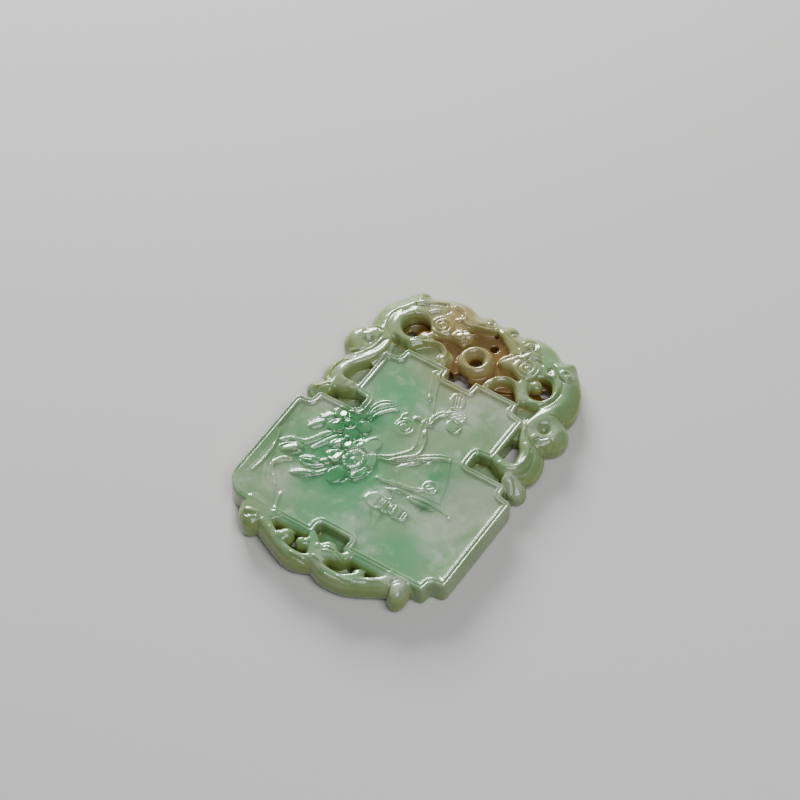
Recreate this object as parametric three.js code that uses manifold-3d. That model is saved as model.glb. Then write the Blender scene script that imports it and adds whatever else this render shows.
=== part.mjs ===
// A pierced jade plaque: a stepped panel with notched corners, two hornless dragons
// arched over its top with a suspension ring between them, and two smaller ones
// under its foot. It is carved from one pebble, so it is one solid.
//
// Millimetres. The drawing is laid out from the panel: x from its centre line and
// y up from its foot. The finished group is moved so that the origin is the middle
// of the underside of the whole plaque, which lies flat, face up.
import * as THREE from "three";
import { mergeVertices } from "three/addons/utils/BufferGeometryUtils.js";
import Module from "manifold-3d";

const PANEL_THICK = 3.9;
const CARVING_THICK = 4.4; // the dragons stand a little proud of the panel's rim
const PANEL_HALF_WIDE = 20.6; // the broad lower part
const PANEL_HALF_NARROW = 13.4; // the raised middle part
const SHOULDER_HEIGHT = 24.9;
const PANEL_HEIGHT = 40.2;
const CORNER = 2.4; // the square bite out of every outer corner
const CORNER_ROUND = 0.8;
const EDGE_BEVEL = 0.4;
const RIM_WIDTH = 0.9;
const FIELD_DEPTH = 0.25; // the field lies this far below the rim
const RING = { x: -0.1, y: 44.2, outer: 3.0, bore: 1.05 };
const WEB_THICK = 2.5; // the sunk floor behind the ring, between panel and dragons
const ROCK_CORNER = [4.4, 3.2]; // the lower left corner is only cut off slantwise, under the rock

const JADE = new THREE.MeshStandardMaterial({ color: 0x9fbf9c, roughness: 0.22, metalness: 0 });

const wasm = await Module();
wasm.setup();

// A closed three.js geometry as a solid that can be joined and cut.
function solid(geometry) {
  const bare = new THREE.BufferGeometry().setAttribute("position", geometry.getAttribute("position"));
  if (geometry.index) bare.setIndex(geometry.index);
  const merged = mergeVertices(bare.index ? bare.toNonIndexed() : bare, 1e-4);
  const made = new wasm.Manifold(
    new wasm.Mesh({
      numProp: 3,
      vertProperties: new Float32Array(merged.attributes.position.array),
      triVerts: new Uint32Array(merged.index.array),
    }),
  );
  return made;
}

function geometryOf(manifold) {
  const mesh = manifold.getMesh();
  const positions = new Float32Array(mesh.numVert * 3);
  for (let i = 0; i < mesh.numVert; i++) {
    positions.set(mesh.vertProperties.subarray(i * mesh.numProp, i * mesh.numProp + 3), i * 3);
  }
  return new THREE.BufferGeometry()
    .setAttribute("position", new THREE.BufferAttribute(positions, 3))
    .setIndex(new THREE.BufferAttribute(mesh.triVerts, 1));
}

const joined = (solids) => solids.reduce((all, one) => all.add(one));

// The panel's outline, right half from the foot up, moved inwards by inset.
// Every corner is bitten out in a square with rounded horns, the same square bites
// the two inner corners, and a shallow bay is cut in the middle of head and foot.
function panelOutline(inset) {
  const wide = PANEL_HALF_WIDE - inset;
  const narrow = PANEL_HALF_NARROW - inset;
  const foot = inset;
  const shoulder = SHOULDER_HEIGHT - inset;
  const head = PANEL_HEIGHT - inset;
  const footBay = { half: 2.9 + inset, depth: 2.5 };
  const headBay = { half: 2.6 + inset, depth: 2.1 };
  const bite = CORNER;
  const innerBite = 2.8;
  // each corner: x, y and the radius it is rounded by
  const corners = [
    [footBay.half, foot + footBay.depth, 0.5],
    [footBay.half, foot, 0.5],
    [wide - bite, foot, CORNER_ROUND],
    [wide - bite, foot + bite, 0.2],
    [wide, foot + bite, CORNER_ROUND],
    [wide, shoulder - bite, CORNER_ROUND],
    [wide - bite, shoulder - bite, 0.2],
    [wide - bite, shoulder, CORNER_ROUND],
    [narrow - innerBite + 2 * inset, shoulder, 0.2],
    [narrow - innerBite + 2 * inset, shoulder + innerBite + 2 * inset, 0.2],
    [narrow, shoulder + innerBite + 2 * inset, CORNER_ROUND],
    [narrow, head - bite, CORNER_ROUND],
    [narrow - bite, head - bite, 0.2],
    [narrow - bite, head, CORNER_ROUND],
    [headBay.half, head, 0.4],
    [headBay.half, head - headBay.depth, 0.2],
  ];
  const left = corners.map(([x, y, r]) => [-x, y, r]).reverse();
  // the notched corner at the lower left gives way to a plain slanting one
  const [cutWide, cutHigh] = ROCK_CORNER;
  left.splice(11, 3, [-wide, foot + cutHigh, CORNER_ROUND], [-wide + cutWide, foot, CORNER_ROUND]);
  const loop = [...corners, ...left];
  const shape = new THREE.Shape();
  loop.forEach(([x, y, radius], i) => {
    const here = new THREE.Vector2(x, y);
    const before = new THREE.Vector2(...loop.at(i - 1));
    const after = new THREE.Vector2(...loop[(i + 1) % loop.length]);
    const start = here.clone().add(before.sub(here).setLength(radius));
    const end = here.clone().add(after.sub(here).setLength(radius));
    if (i === 0) shape.moveTo(start.x, start.y);
    else shape.lineTo(start.x, start.y);
    shape.quadraticCurveTo(here.x, here.y, end.x, end.y);
  });
  shape.closePath();
  return shape;
}

function panel() {
  const plate = new THREE.ExtrudeGeometry(panelOutline(EDGE_BEVEL), {
    depth: PANEL_THICK - 2 * EDGE_BEVEL,
    bevelThickness: EDGE_BEVEL,
    bevelSize: EDGE_BEVEL,
    bevelSegments: 1,
    curveSegments: 2,
  });
  plate.translate(0, 0, EDGE_BEVEL);
  const field = new THREE.ExtrudeGeometry(panelOutline(RIM_WIDTH), {
    depth: 1,
    bevelEnabled: false,
    curveSegments: 2,
  });
  field.translate(0, 0, PANEL_THICK - FIELD_DEPTH);
  return solid(plate).subtract(solid(field));
}

// A limb of the carving: a tapering bar with softened edges along a smooth line.
// stations are [x, y, half width]; both ends are rounded off in plan.
const SIDES = 8;
function limb(stations, { low = 0, high = CARVING_THICK, steps = 2, tips = 2 } = {}) {
  const line = new THREE.CatmullRomCurve3(stations.map(([x, y]) => new THREE.Vector3(x, y, 0)));
  const halves = new THREE.CatmullRomCurve3(stations.map(([, , w], i) => new THREE.Vector3(i, w, 0)));
  const count = (stations.length - 1) * steps;
  const rings = [];
  const place = (t, reach, share) => {
    const at = line.getPoint(t);
    const along = line.getTangent(t);
    const across = new THREE.Vector3(along.y, -along.x, 0);
    const half = Math.max(halves.getPoint(t).y * share, 0.02);
    const soft = Math.min(0.42 * half, 0.3 * (high - low));
    const centre = at.addScaledVector(along, reach);
    const section = [
      [half - soft, low],
      [half, low + soft],
      [half, high - soft],
      [half - soft, high],
      [soft - half, high],
      [-half, high - soft],
      [-half, low + soft],
      [soft - half, low],
    ];
    rings.push(section.map(([s, z]) => centre.clone().addScaledVector(across, s).setZ(z)));
  };
  const start = halves.getPoint(0).y;
  const end = halves.getPoint(1).y;
  for (let k = tips; k > 0; k--) {
    const angle = (k / tips) * Math.PI * 0.5;
    place(0, -start * Math.sin(angle), Math.cos(angle));
  }
  for (let i = 0; i <= count; i++) place(i / count, 0, 1);
  for (let k = 1; k <= tips; k++) {
    const angle = (k / tips) * Math.PI * 0.5;
    place(1, end * Math.sin(angle), Math.cos(angle));
  }
  const positions = rings.flat().flatMap((p) => p.toArray());
  const faces = [];
  for (let r = 0; r + 1 < rings.length; r++) {
    for (let s = 0; s < SIDES; s++) {
      const a = r * SIDES + s;
      const b = r * SIDES + ((s + 1) % SIDES);
      faces.push(a, a + SIDES, b, b, a + SIDES, b + SIDES);
    }
  }
  const last = (rings.length - 1) * SIDES;
  for (let s = 1; s + 1 < SIDES; s++) {
    faces.push(0, s, s + 1, last, last + s + 1, last + s);
  }
  const geometry = new THREE.BufferGeometry();
  geometry.setAttribute("position", new THREE.Float32BufferAttribute(positions, 3));
  geometry.setIndex(faces);
  return solid(geometry);
}

// A round boss with softened edges, turned about its own upright axis.
function boss(x, y, radius, { low = 0, high = CARVING_THICK, segments = 14 } = {}) {
  const soft = Math.min(0.45 * radius, 0.3 * (high - low));
  const profile = [
    [0, low],
    [radius - soft, low],
    [radius, low + soft],
    [radius, high - soft],
    [radius - soft, high],
    [0, high],
  ].map(([r, z]) => new THREE.Vector2(r, z));
  const turned = new THREE.LatheGeometry(profile, segments);
  turned.rotateX(Math.PI / 2);
  turned.translate(x, y, 0);
  // turning the lathe's axis from +Y to +Z keeps the heights positive
  return solid(turned);
}

function drill(x, y, radius, { low = -1, high = CARVING_THICK + 1, sink = 0 } = {}) {
  const profile = [
    [0, low],
    [radius, low],
    [radius + sink, high],
    [0, high],
  ].map(([r, z]) => new THREE.Vector2(r, z));
  const turned = new THREE.LatheGeometry(profile, 14);
  turned.rotateX(Math.PI / 2);
  turned.translate(x, y, 0);
  return solid(turned);
}

const mirrored = (stations) => stations.map(([x, y, half]) => [-x, y, half]);

// What both upper dragons share, drawn for the right-hand one.
const UPPER = {
  leg: [
    [16.9, 43.2, 2.1],
    [15.7, 41.2, 1.8],
    [14.9, 39.2, 1.4],
    [14.8, 37.0, 1.5],
    [15.8, 35.0, 1.7],
    [17.5, 33.2, 2.1],
    [18.2, 31.4, 2.3],
    [18.2, 29.6, 2.2],
    [17.2, 28.4, 1.8],
    [15.8, 28.1, 1.5],
    [14.2, 28.5, 1.2],
    [13.2, 28.9, 1.0],
  ],
  loin: [
    [14.9, 43.6, 1.0],
    [14.1, 42.3, 1.05],
    [12.5, 41.6, 1.05],
    [10.9, 41.8, 1.0],
    [9.9, 42.8, 1.1],
    [9.2, 44.2, 1.1],
  ],
  arch: [
    [4.2, 40.8, 0.9],
    [4.6, 42.3, 0.8],
    [6.2, 43.5, 0.75],
    [8.4, 43.2, 0.8],
    [10.6, 41.2, 1.0],
  ],
};
const HIP = { x: 17.9, y: 38.1, radius: 3.3 };
const PAW = { x: 19.2, y: 25.8, radius: 1.7 };

// One upper dragon's hind part: side is 1 for the right-hand one and -1 for the left.
function hindPart(side) {
  const turn = (stations) => (side > 0 ? stations : mirrored(stations));
  return [
    ...Object.values(UPPER).map((stations) => limb(turn(stations))),
    boss(side * HIP.x, HIP.y, HIP.radius),
    boss(side * PAW.x, PAW.y, PAW.radius, { segments: 12 }),
    boss(side * (PAW.x - 1.6), PAW.y + 0.4, 1.3, { segments: 10 }),
  ];
}

function rightHead() {
  return [
    limb([
      [0.6, 51.9, 1.2],
      [2.8, 51.8, 1.5],
      [5.2, 52.0, 2.2],
      [7.4, 51.9, 2.55],
      [10.0, 51.0, 2.6],
      [12.8, 49.6, 2.5],
      [15.0, 47.9, 2.4],
      [16.6, 45.6, 2.35],
      [17.0, 43.2, 2.2],
      [16.8, 41.6, 1.9],
    ]),
    limb([[5.6, 49.4, 1.6], [4.9, 47.6, 1.7], [4.7, 46.8, 1.5]]),
    boss(8.0, 47.0, 2.3),
    boss(13.5, 51.7, 1.4, { segments: 10 }),
    boss(1.9, 53.2, 1.2, { segments: 12 }),
    boss(0.6, 53.2, 1.0, { segments: 10 }),
  ];
}

function leftHead() {
  return [
    limb([
      [0.0, 51.9, 1.2],
      [-3.2, 51.8, 1.4],
      [-5.8, 51.7, 2.1],
      [-8.4, 51.7, 2.6],
      [-11.2, 50.9, 2.5],
      [-13.6, 49.6, 2.5],
      [-15.7, 47.6, 2.6],
      [-16.9, 45.2, 2.6],
      [-17.0, 42.6, 2.4],
      [-16.9, 41.4, 2.1],
    ]),
    limb([[-6.0, 48.8, 1.6], [-5.0, 47.4, 1.6], [-4.2, 46.9, 1.5]]),
    // this dragon's thigh is the broader one
    limb([[-15.0, 40.4, 1.3], [-14.9, 38.0, 1.35], [-15.3, 36.0, 1.4]]),
    boss(-8.4, 47.0, 2.3),
    boss(-15.4, 51.6, 1.5, { segments: 10 }),
    boss(-3.0, 53.0, 1.2, { segments: 12 }),
  ];
}

// The two small dragons under the foot meet nose to nose at a beast's mask.
function lowerDragons() {
  const bands = [
    [
      [0.9, -4.3, 1.1],
      [2.4, -4.8, 1.2],
      [4.4, -4.9, 1.2],
      [6.6, -4.5, 1.2],
      [8.8, -3.5, 1.2],
      [11.0, -2.1, 1.3],
      [13.2, -0.6, 1.5],
    ],
    [
      [-0.9, -4.4, 1.1],
      [-2.6, -4.9, 1.25],
      [-4.6, -4.8, 1.25],
      [-6.8, -4.0, 1.2],
      [-9.0, -2.9, 1.25],
      [-11.0, -1.6, 1.5],
      [-12.8, -0.2, 1.8],
    ],
  ];
  const curls = [
    [[6.2, -4.0, 0.8], [7.2, -3.2, 0.8], [7.6, -2.5, 0.75]],
    [[-7.8, -3.4, 1.0], [-6.5, -2.4, 1.3]],
  ];
  const mask = [
    [[-2.8, 0.2, 0.9], [-1.9, -1.0, 1.3], [-0.8, -2.6, 1.3], [0.2, -3.8, 1.2]],
    [[4.6, 0.2, 0.9], [3.7, -1.2, 1.2], [1.8, -1.8, 1.3], [0.6, -2.8, 1.3]],
  ];
  const claws = [
    [[14.3, -0.2, 1.9], [14.6, -2.2, 1.6]],
    [[-14.2, 0.2, 2.2], [-13.6, -1.6, 2.0], [-13.0, -2.5, 1.7]],
  ];
  return [
    ...[...bands, ...curls, ...mask, ...claws].map((stations) => limb(stations)),
    boss(-3.3, -2.2, 1.05, { segments: 10 }),
    boss(1.0, -0.9, 1.5, { segments: 10 }),
  ];
}

// Floors left standing low between the limbs, where the drill did not go through:
// [x, y, half width, half height, top].
const SUNK_FLOORS = [
  [0, 45.6, 10.2, 5.2, WEB_THICK],
  [12.4, 39.3, 1.9, 1.8, 2.5],
  [-12.4, 39.3, 1.9, 1.8, 2.5],
  [13.7, 37.0, 1.0, 2.8, 2.7],
  [-13.7, 37.2, 1.2, 3.0, 3.2],
  [-15.2, 32.4, 1.9, 3.4, 2.2],
  [12.0, 44.6, 2.6, 2.4, 1.5],
  [-12.2, 44.6, 2.6, 2.4, 1.5],
  [12.6, 27.2, 3.4, 1.7, 1.5],
  [-12.6, 27.2, 3.4, 1.7, 1.5],
  [0, 1.4, 3.2, 1.6, 1.6],
  [3.6, -2.4, 2.2, 1.2, 1.7],
  [-4.0, -3.4, 1.6, 1.2, 1.7],
];

function sunkFloor([x, y, halfWide, halfHigh, top]) {
  const outline = new THREE.Shape();
  outline.absellipse(x, y, halfWide, halfHigh, 0, Math.PI * 2);
  const sheet = new THREE.ExtrudeGeometry(outline, { depth: top, bevelEnabled: false, curveSegments: 7 });
  return solid(sheet);
}

// Openings drilled through the carving, as [x, y, radius].
const PIERCED = [
  [RING.x, RING.y, RING.bore],
  [-0.6, 40.3, 1.3],
  [0.8, 48.6, 0.7],
  [12.3, 45.7, 0.8],
  [-12.9, 44.6, 0.6],
  [-13.9, 30.3, 0.55],
];

const body = joined([
  panel(),
  ...SUNK_FLOORS.map(sunkFloor),
  boss(RING.x, RING.y, RING.outer, { segments: 18 }),
  boss(11.0, 45.0, 1.15, { high: 3.7, segments: 10 }),
  ...hindPart(1),
  ...hindPart(-1),
  ...rightHead(),
  ...leftHead(),
  ...lowerDragons(),
]).subtract(joined(PIERCED.map(([x, y, radius]) => drill(x, y, radius))));

const plaque = new THREE.Mesh(geometryOf(body), JADE);
plaque.name = "jade_plaque";

const part = new THREE.Group();
part.add(plaque);
const middle = new THREE.Box3().setFromObject(part).getCenter(new THREE.Vector3());
part.position.set(0, -middle.y, 0);

export default part;
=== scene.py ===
from math import cos, hypot, pi, radians, sin

import bmesh
import bpy
import numpy as np
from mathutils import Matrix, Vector
from mathutils.bvhtree import BVHTree
from mathutils.kdtree import KDTree


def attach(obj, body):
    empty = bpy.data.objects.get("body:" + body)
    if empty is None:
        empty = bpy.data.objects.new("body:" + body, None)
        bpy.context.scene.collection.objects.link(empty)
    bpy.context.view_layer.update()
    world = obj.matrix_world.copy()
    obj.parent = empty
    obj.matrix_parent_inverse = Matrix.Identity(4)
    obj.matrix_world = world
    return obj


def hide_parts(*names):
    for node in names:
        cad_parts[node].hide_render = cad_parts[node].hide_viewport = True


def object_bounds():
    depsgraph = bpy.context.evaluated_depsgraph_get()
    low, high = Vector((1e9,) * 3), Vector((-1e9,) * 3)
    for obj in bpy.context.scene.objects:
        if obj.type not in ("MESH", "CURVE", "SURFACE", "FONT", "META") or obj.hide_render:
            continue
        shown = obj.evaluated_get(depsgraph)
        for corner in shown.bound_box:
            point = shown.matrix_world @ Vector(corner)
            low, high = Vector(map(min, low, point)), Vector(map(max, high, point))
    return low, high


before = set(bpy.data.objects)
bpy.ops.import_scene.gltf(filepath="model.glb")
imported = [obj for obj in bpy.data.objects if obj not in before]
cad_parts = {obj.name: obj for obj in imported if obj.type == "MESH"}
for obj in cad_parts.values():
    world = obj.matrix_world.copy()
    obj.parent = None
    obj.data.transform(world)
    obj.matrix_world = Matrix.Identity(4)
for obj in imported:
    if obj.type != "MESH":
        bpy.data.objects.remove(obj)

cad_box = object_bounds()

# ----------------------------------------
# The panel, sawn with the rest from a pebble of jadeite. Every corner is bitten out in a
# small square with rounded horns, with a bay in the middle of head and foot. It is laid
# out in millimetres from its foot and centre line, and moved into place once it is carved.
# ----------------------------------------
PANEL_THICK = 3.9
ROUGH = 0.2  # grain of the stone as it is roughed out
HALF_WIDE = 20.6
HALF_NARROW = 13.4
SHOULDER = 24.9
HEAD = 40.2
BITE = 2.4
INNER_BITE = 2.8


def finish_mesh(bm, name):
    mesh = bpy.data.meshes.new(name)
    bm.to_mesh(mesh)
    bm.free()
    return mesh


def slab(outline, low, high, name):
    """A slab of that outline, standing from low to high."""
    bm = bmesh.new()
    ring = [bm.verts.new((x, y, low)) for x, y in outline]
    face = bm.faces.new(ring)
    top = bmesh.ops.extrude_face_region(bm, geom=[face])["geom"]
    bmesh.ops.translate(bm, vec=(0, 0, high - low),
                        verts=[v for v in top if isinstance(v, bmesh.types.BMVert)])
    bmesh.ops.recalc_face_normals(bm, faces=bm.faces)
    return finish_mesh(bm, name)


def with_modifiers(work, *settings):
    """The mesh after a stack of modifiers, each (type, {setting: value})."""
    o = work if isinstance(work, bpy.types.Object) else bpy.data.objects.new("work", work)
    mesh = o.data
    bpy.context.collection.objects.link(o)
    for kind, values in settings:
        m = o.modifiers.new(kind.lower(), kind)
        for key, value in values.items():
            setattr(m, key, value)
    graph = bpy.context.evaluated_depsgraph_get()
    made = bpy.data.meshes.new_from_object(o.evaluated_get(graph))
    bpy.data.objects.remove(o)
    bpy.data.meshes.remove(mesh)
    return made


def fused(mesh, grain=ROUGH, rounds=0):
    """One closed skin round overlapping solids, as the saw and the drill leave them."""
    stack = [("REMESH", {"mode": "VOXEL", "voxel_size": grain, "adaptivity": 0.0})]
    if rounds:
        stack.append(("SMOOTH", {"factor": 0.5, "iterations": rounds}))
    return with_modifiers(mesh, *stack)


def coordinates(mesh):
    co = np.empty(len(mesh.vertices) * 3)
    mesh.vertices.foreach_get("co", co)
    return co.reshape(-1, 3)


def put_coordinates(mesh, co):
    mesh.vertices.foreach_set("co", co.ravel())
    mesh.update()


def soften(mesh, reach, keep, middle):
    """Rounds the slab towards its edges: keep is the share of the wall left upright."""
    mesh.update()
    walls = [tuple(p.vertices) for p in mesh.polygons if abs(p.normal.z) < 0.5]
    tree = BVHTree.FromPolygons([v.co for v in mesh.vertices], walls)
    co = coordinates(mesh)
    for i, (x, y, z) in enumerate(co):
        d = tree.find_nearest((x, y, middle), reach)[3]
        if d is None:
            continue
        t = min(d / reach, 1.0)
        co[i, 2] = middle + (z - middle) * (keep + (1 - keep) * (1 - (1 - t) ** 2) ** 0.5)
    put_coordinates(mesh, co)
    return mesh


def panel_outline():
    corners = [
        (2.9, 2.5, 0.6), (2.9, 0.0, 0.6),
        (HALF_WIDE - BITE - 0.3, 0.0, 0.9), (HALF_WIDE - BITE, BITE - 0.2, 0.5),
        (HALF_WIDE, BITE + 0.1, 0.9),
        (HALF_WIDE, SHOULDER - BITE - 0.1, 0.9), (HALF_WIDE - BITE, SHOULDER - BITE + 0.2, 0.5),
        (HALF_WIDE - BITE - 0.3, SHOULDER, 0.9),
        (HALF_NARROW - INNER_BITE, SHOULDER, 0.3),
        (HALF_NARROW - INNER_BITE, SHOULDER + INNER_BITE, 0.3),
        (HALF_NARROW, SHOULDER + INNER_BITE + 0.3, 1.0),
        (HALF_NARROW, HEAD - BITE - 0.1, 0.9), (HALF_NARROW - BITE, HEAD - BITE + 0.2, 0.4),
        (HALF_NARROW - BITE - 0.2, HEAD, 0.8),
        (2.4, HEAD, 0.5), (2.3, HEAD - 2.1, 0.3),
    ]
    left = [(-x, y, r) for x, y, r in reversed(corners)]
    # the rock fills the lower left corner, which is only rounded off
    left[-5:-2] = [(-HALF_WIDE, 3.5, 1.2), (-19.3, 1.5, 1.0), (-17.4, 0.0, 1.2)]
    loop = corners + left
    out = []
    for i, (x, y, r) in enumerate(loop):
        here = np.array((x, y))
        ways = [np.array(loop[j][:2]) - here for j in (i - 1, (i + 1) % len(loop))]
        a, b = [here + w / hypot(*w) * r for w in ways]
        for t in np.linspace(0, 1, 6):
            out.append(a * (1 - t) ** 2 + 2 * here * t * (1 - t) + b * t * t)
    return np.array(out)


outline = panel_outline()
panel = slab(outline, 0.0, PANEL_THICK, "panel")
# its edges are only just taken off, so the rim catches a thin line of light
panel = soften(fused(panel), 0.35, 0.9, PANEL_THICK / 2)

# ----------------------------------------
# The two large hornless dragons arch over the panel's head, nose to nose, and
# their hind parts run down its sides to the shoulders. They are left from the
# same slab as the panel, pierced round their limbs, and rounded over.
# ----------------------------------------
RIGHT_HEAD = [
    (0.0, 52.3), (-0.2, 53.7), (0.4, 54.3), (1.2, 54.5), (2.1, 54.2), (3.0, 53.3),
    (3.9, 53.8), (5.2, 54.3), (6.6, 54.5), (8.1, 54.3), (9.5, 53.8), (10.6, 53.2), (11.5, 52.6),
    (12.3, 52.6), (13.0, 53.1), (13.7, 53.1), (14.5, 52.3),
    (15.5, 51.2), (16.5, 50.0), (17.5, 48.7), (18.3, 47.2), (18.9, 45.7), (19.2, 44.1),
    (19.1, 42.6), (18.4, 41.4), (16.5, 40.8), (14.8, 41.6), (14.3, 43.2), (13.9, 45.2),
    (13.0, 46.6), (11.6, 47.0), (10.4, 46.2), (9.4, 45.0), (7.8, 44.7), (6.6, 45.2), (5.6, 45.6),
    (4.4, 45.4), (3.2, 45.7), (2.9, 46.7), (3.3, 47.7), (3.8, 48.5), (2.6, 49.4), (1.2, 50.4), (0.0, 51.1),
]
LEFT_HEAD = [
    (0.2, 52.0), (-0.2, 53.6), (-1.5, 53.6), (-2.3, 54.1), (-3.1, 54.2), (-4.0, 53.8), (-4.6, 53.2),
    (-5.4, 53.5), (-6.9, 54.1), (-8.4, 54.3), (-9.9, 54.0), (-11.3, 53.4), (-12.5, 52.8),
    (-13.5, 52.3), (-14.2, 52.8), (-14.9, 53.3), (-15.9, 53.2), (-16.8, 52.2), (-17.0, 50.9),
    (-18.0, 49.2), (-19.0, 47.7), (-19.6, 45.7), (-19.5, 43.6), (-19.0, 41.8),
    (-16.8, 40.8), (-14.8, 41.2), (-14.1, 42.8), (-14.2, 44.8), (-13.6, 46.3), (-12.2, 47.1),
    (-10.8, 46.8), (-9.9, 45.8), (-9.2, 44.8), (-8.4, 44.6), (-7.0, 45.2), (-6.0, 45.6), (-4.8, 45.6),
    (-3.4, 45.4), (-2.8, 46.6), (-2.6, 47.9), (-3.6, 48.4), (-4.2, 49.0), (-3.4, 49.7), (-2.0, 50.2),
    (-0.8, 50.9),
]
OPENWORK_TOP = 4.0
LIMB_TOP = 4.05
HIND = {
    "leg": [(16.9, 43.2, 2.1), (15.7, 41.2, 1.8), (14.9, 39.2, 1.4), (14.8, 37.0, 1.5),
            (15.8, 35.0, 1.7), (17.5, 33.2, 2.1), (18.2, 31.4, 2.3), (18.2, 29.6, 2.2),
            (17.2, 28.4, 1.8), (15.8, 28.1, 1.5), (14.2, 28.5, 1.2), (13.2, 28.9, 1.0)],
    "loin": [(14.9, 43.6, 1.0), (14.1, 42.3, 1.05), (12.5, 41.6, 1.05), (10.9, 41.8, 1.0),
             (9.9, 42.8, 1.1), (9.2, 44.2, 1.1)],
    "arch": [(4.2, 40.8, 0.9), (4.5, 42.0, 0.85), (5.6, 43.1, 0.75), (7.0, 43.6, 0.75),
             (8.4, 43.2, 0.8), (9.6, 42.2, 0.9), (10.6, 41.2, 1.0)],
}


def smooth_line(points, per=8, closed=False):
    """A smooth line through the points; each may carry a width after x and y."""
    p = np.array(points, float)
    n = len(p)
    out = []
    for i in range(n if closed else n - 1):
        if closed:
            a, b, c, d = p[i - 1], p[i], p[(i + 1) % n], p[(i + 2) % n]
        else:
            b, c = p[i], p[i + 1]
            a = p[i - 1] if i else 2 * b - c
            d = p[i + 2] if i + 2 < n else 2 * c - b
        for s in range(per):
            t = s / per
            out.append(0.5 * (2 * b + (c - a) * t + (2 * a - 5 * b + 4 * c - d) * t * t
                              + (3 * b - a - 3 * c + d) * t ** 3))
    if not closed:
        out.append(p[-1])
    return np.array(out)


def limb(stations, low=0.0, high=LIMB_TOP, sides=12, per=6):
    """A bar that follows the stations (x, y, half width), round-ended and soft-edged."""
    line = smooth_line(stations, per)
    way = np.gradient(line[:, :2], axis=0)
    way /= np.linalg.norm(way, axis=1)[:, None]
    cap = [sin(radians(a)) for a in (85, 65, 45, 22)]
    rows = [(line[0, :2] - way[0] * line[0, 2] * c, way[0], line[0, 2] * (1 - c * c) ** 0.5)
            for c in cap]
    rows += [(q[:2], w, q[2]) for q, w in zip(line, way)]
    rows += [(line[-1, :2] + way[-1] * line[-1, 2] * c, way[-1],
              line[-1, 2] * (1 - c * c) ** 0.5) for c in reversed(cap)]
    bm = bmesh.new()
    middle, rise = (low + high) / 2, (high - low) / 2
    before = None
    for at, along, half in rows:
        half = max(half, 0.05)
        ring = []
        for k in range(sides):
            a = 2 * pi * (k + 0.5) / sides
            # a squared circle: flat sides and top, with rounded edges
            u = np.sign(cos(a)) * abs(cos(a)) ** 0.5
            w = np.sign(sin(a)) * abs(sin(a)) ** 0.5
            ring.append(bm.verts.new((at[0] + along[1] * half * u, at[1] - along[0] * half * u,
                                      middle + rise * w)))
        if before is None:
            bm.faces.new(ring)
        else:
            for k in range(sides):
                j = (k + 1) % sides
                bm.faces.new((before[k], before[j], ring[j], ring[k]))
        before = ring
    bm.faces.new(list(reversed(before)))
    bmesh.ops.recalc_face_normals(bm, faces=bm.faces)
    return finish_mesh(bm, "limb")


def round_bar(x, y, radius, low, high, sides):
    bm = bmesh.new()
    bmesh.ops.create_cone(bm, cap_ends=True, segments=sides, radius1=radius, radius2=radius,
                          depth=high - low)
    bmesh.ops.translate(bm, vec=(x, y, (low + high) / 2), verts=bm.verts)
    return finish_mesh(bm, "bar")


def boss(x, y, radius):
    """A round swelling, as tall as the limbs."""
    return round_bar(x, y, radius, 0.0, LIMB_TOP, 28)


def turned(stations, side):
    return [(side * s[0], *s[1:]) for s in stations]


dragon_parts = []
for side, head in ((1, RIGHT_HEAD), (-1, LEFT_HEAD)):
    dragon_parts.append(slab(smooth_line(head, 5, True), 0.0, OPENWORK_TOP, "head"))
    for stations in HIND.values():
        dragon_parts.append(limb(turned(stations, side)))
    dragon_parts.append(boss(side * 17.9 - 0.2, 38.1, 3.3))
    dragon_parts.append(boss(side * 19.2, 25.8, 1.7))
    dragon_parts.append(boss(side * 17.6, 26.2, 1.3))
# the left thigh is fuller than the right
dragon_parts.append(limb([(-15.0, 40.4, 1.3), (-14.9, 38.0, 1.35), (-15.3, 36.0, 1.4)]))

# ----------------------------------------
# The two small dragons under the foot, whose noses meet at a beast's mask. Their
# claws stand out as lobes at either side.
# ----------------------------------------
FOOT_LIMBS = [
    [(0.9, -4.3, 1.1), (2.4, -4.8, 1.2), (4.4, -4.9, 1.2), (6.6, -4.5, 1.2), (8.8, -3.5, 1.2),
     (11.0, -2.1, 1.3), (13.2, -0.6, 1.5)],
    [(-0.9, -4.4, 1.1), (-2.6, -4.9, 1.25), (-4.6, -4.8, 1.25), (-6.8, -4.0, 1.2),
     (-9.0, -2.9, 1.25), (-11.0, -1.6, 1.5), (-12.8, -0.2, 1.8)],
    [(6.2, -4.0, 0.8), (7.2, -3.2, 0.8), (7.6, -2.5, 0.75)],
    [(-7.8, -3.4, 1.0), (-6.5, -2.4, 1.3)],
    [(-2.8, 0.2, 0.9), (-1.9, -1.0, 1.3), (-0.8, -2.6, 1.3), (0.2, -3.8, 1.2)],
    [(4.6, 0.2, 0.9), (3.7, -1.2, 1.2), (1.8, -1.8, 1.3), (0.6, -2.8, 1.3)],
    [(14.3, -0.2, 1.9), (14.6, -2.2, 1.6)],
    [(-14.2, 0.2, 2.2), (-13.6, -1.6, 2.0), (-13.0, -2.5, 1.7)],
    [(-9.4, 0.3, 1.2), (-11.2, -0.4, 1.6), (-13.0, 0.4, 1.6)],
    [(12.2, 0.2, 1.4), (13.4, -0.2, 1.6)],
]
foot_parts = [limb(stations) for stations in FOOT_LIMBS]
foot_parts.append(boss(-3.3, -2.2, 1.05))
foot_parts.append(boss(1.0, -0.9, 1.5))


def merged(meshes, name):
    """All the solids in one mesh, still overlapping."""
    bm = bmesh.new()
    for mesh in meshes:
        bm.from_mesh(mesh)
        bpy.data.meshes.remove(mesh)
    return finish_mesh(bm, name)


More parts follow.
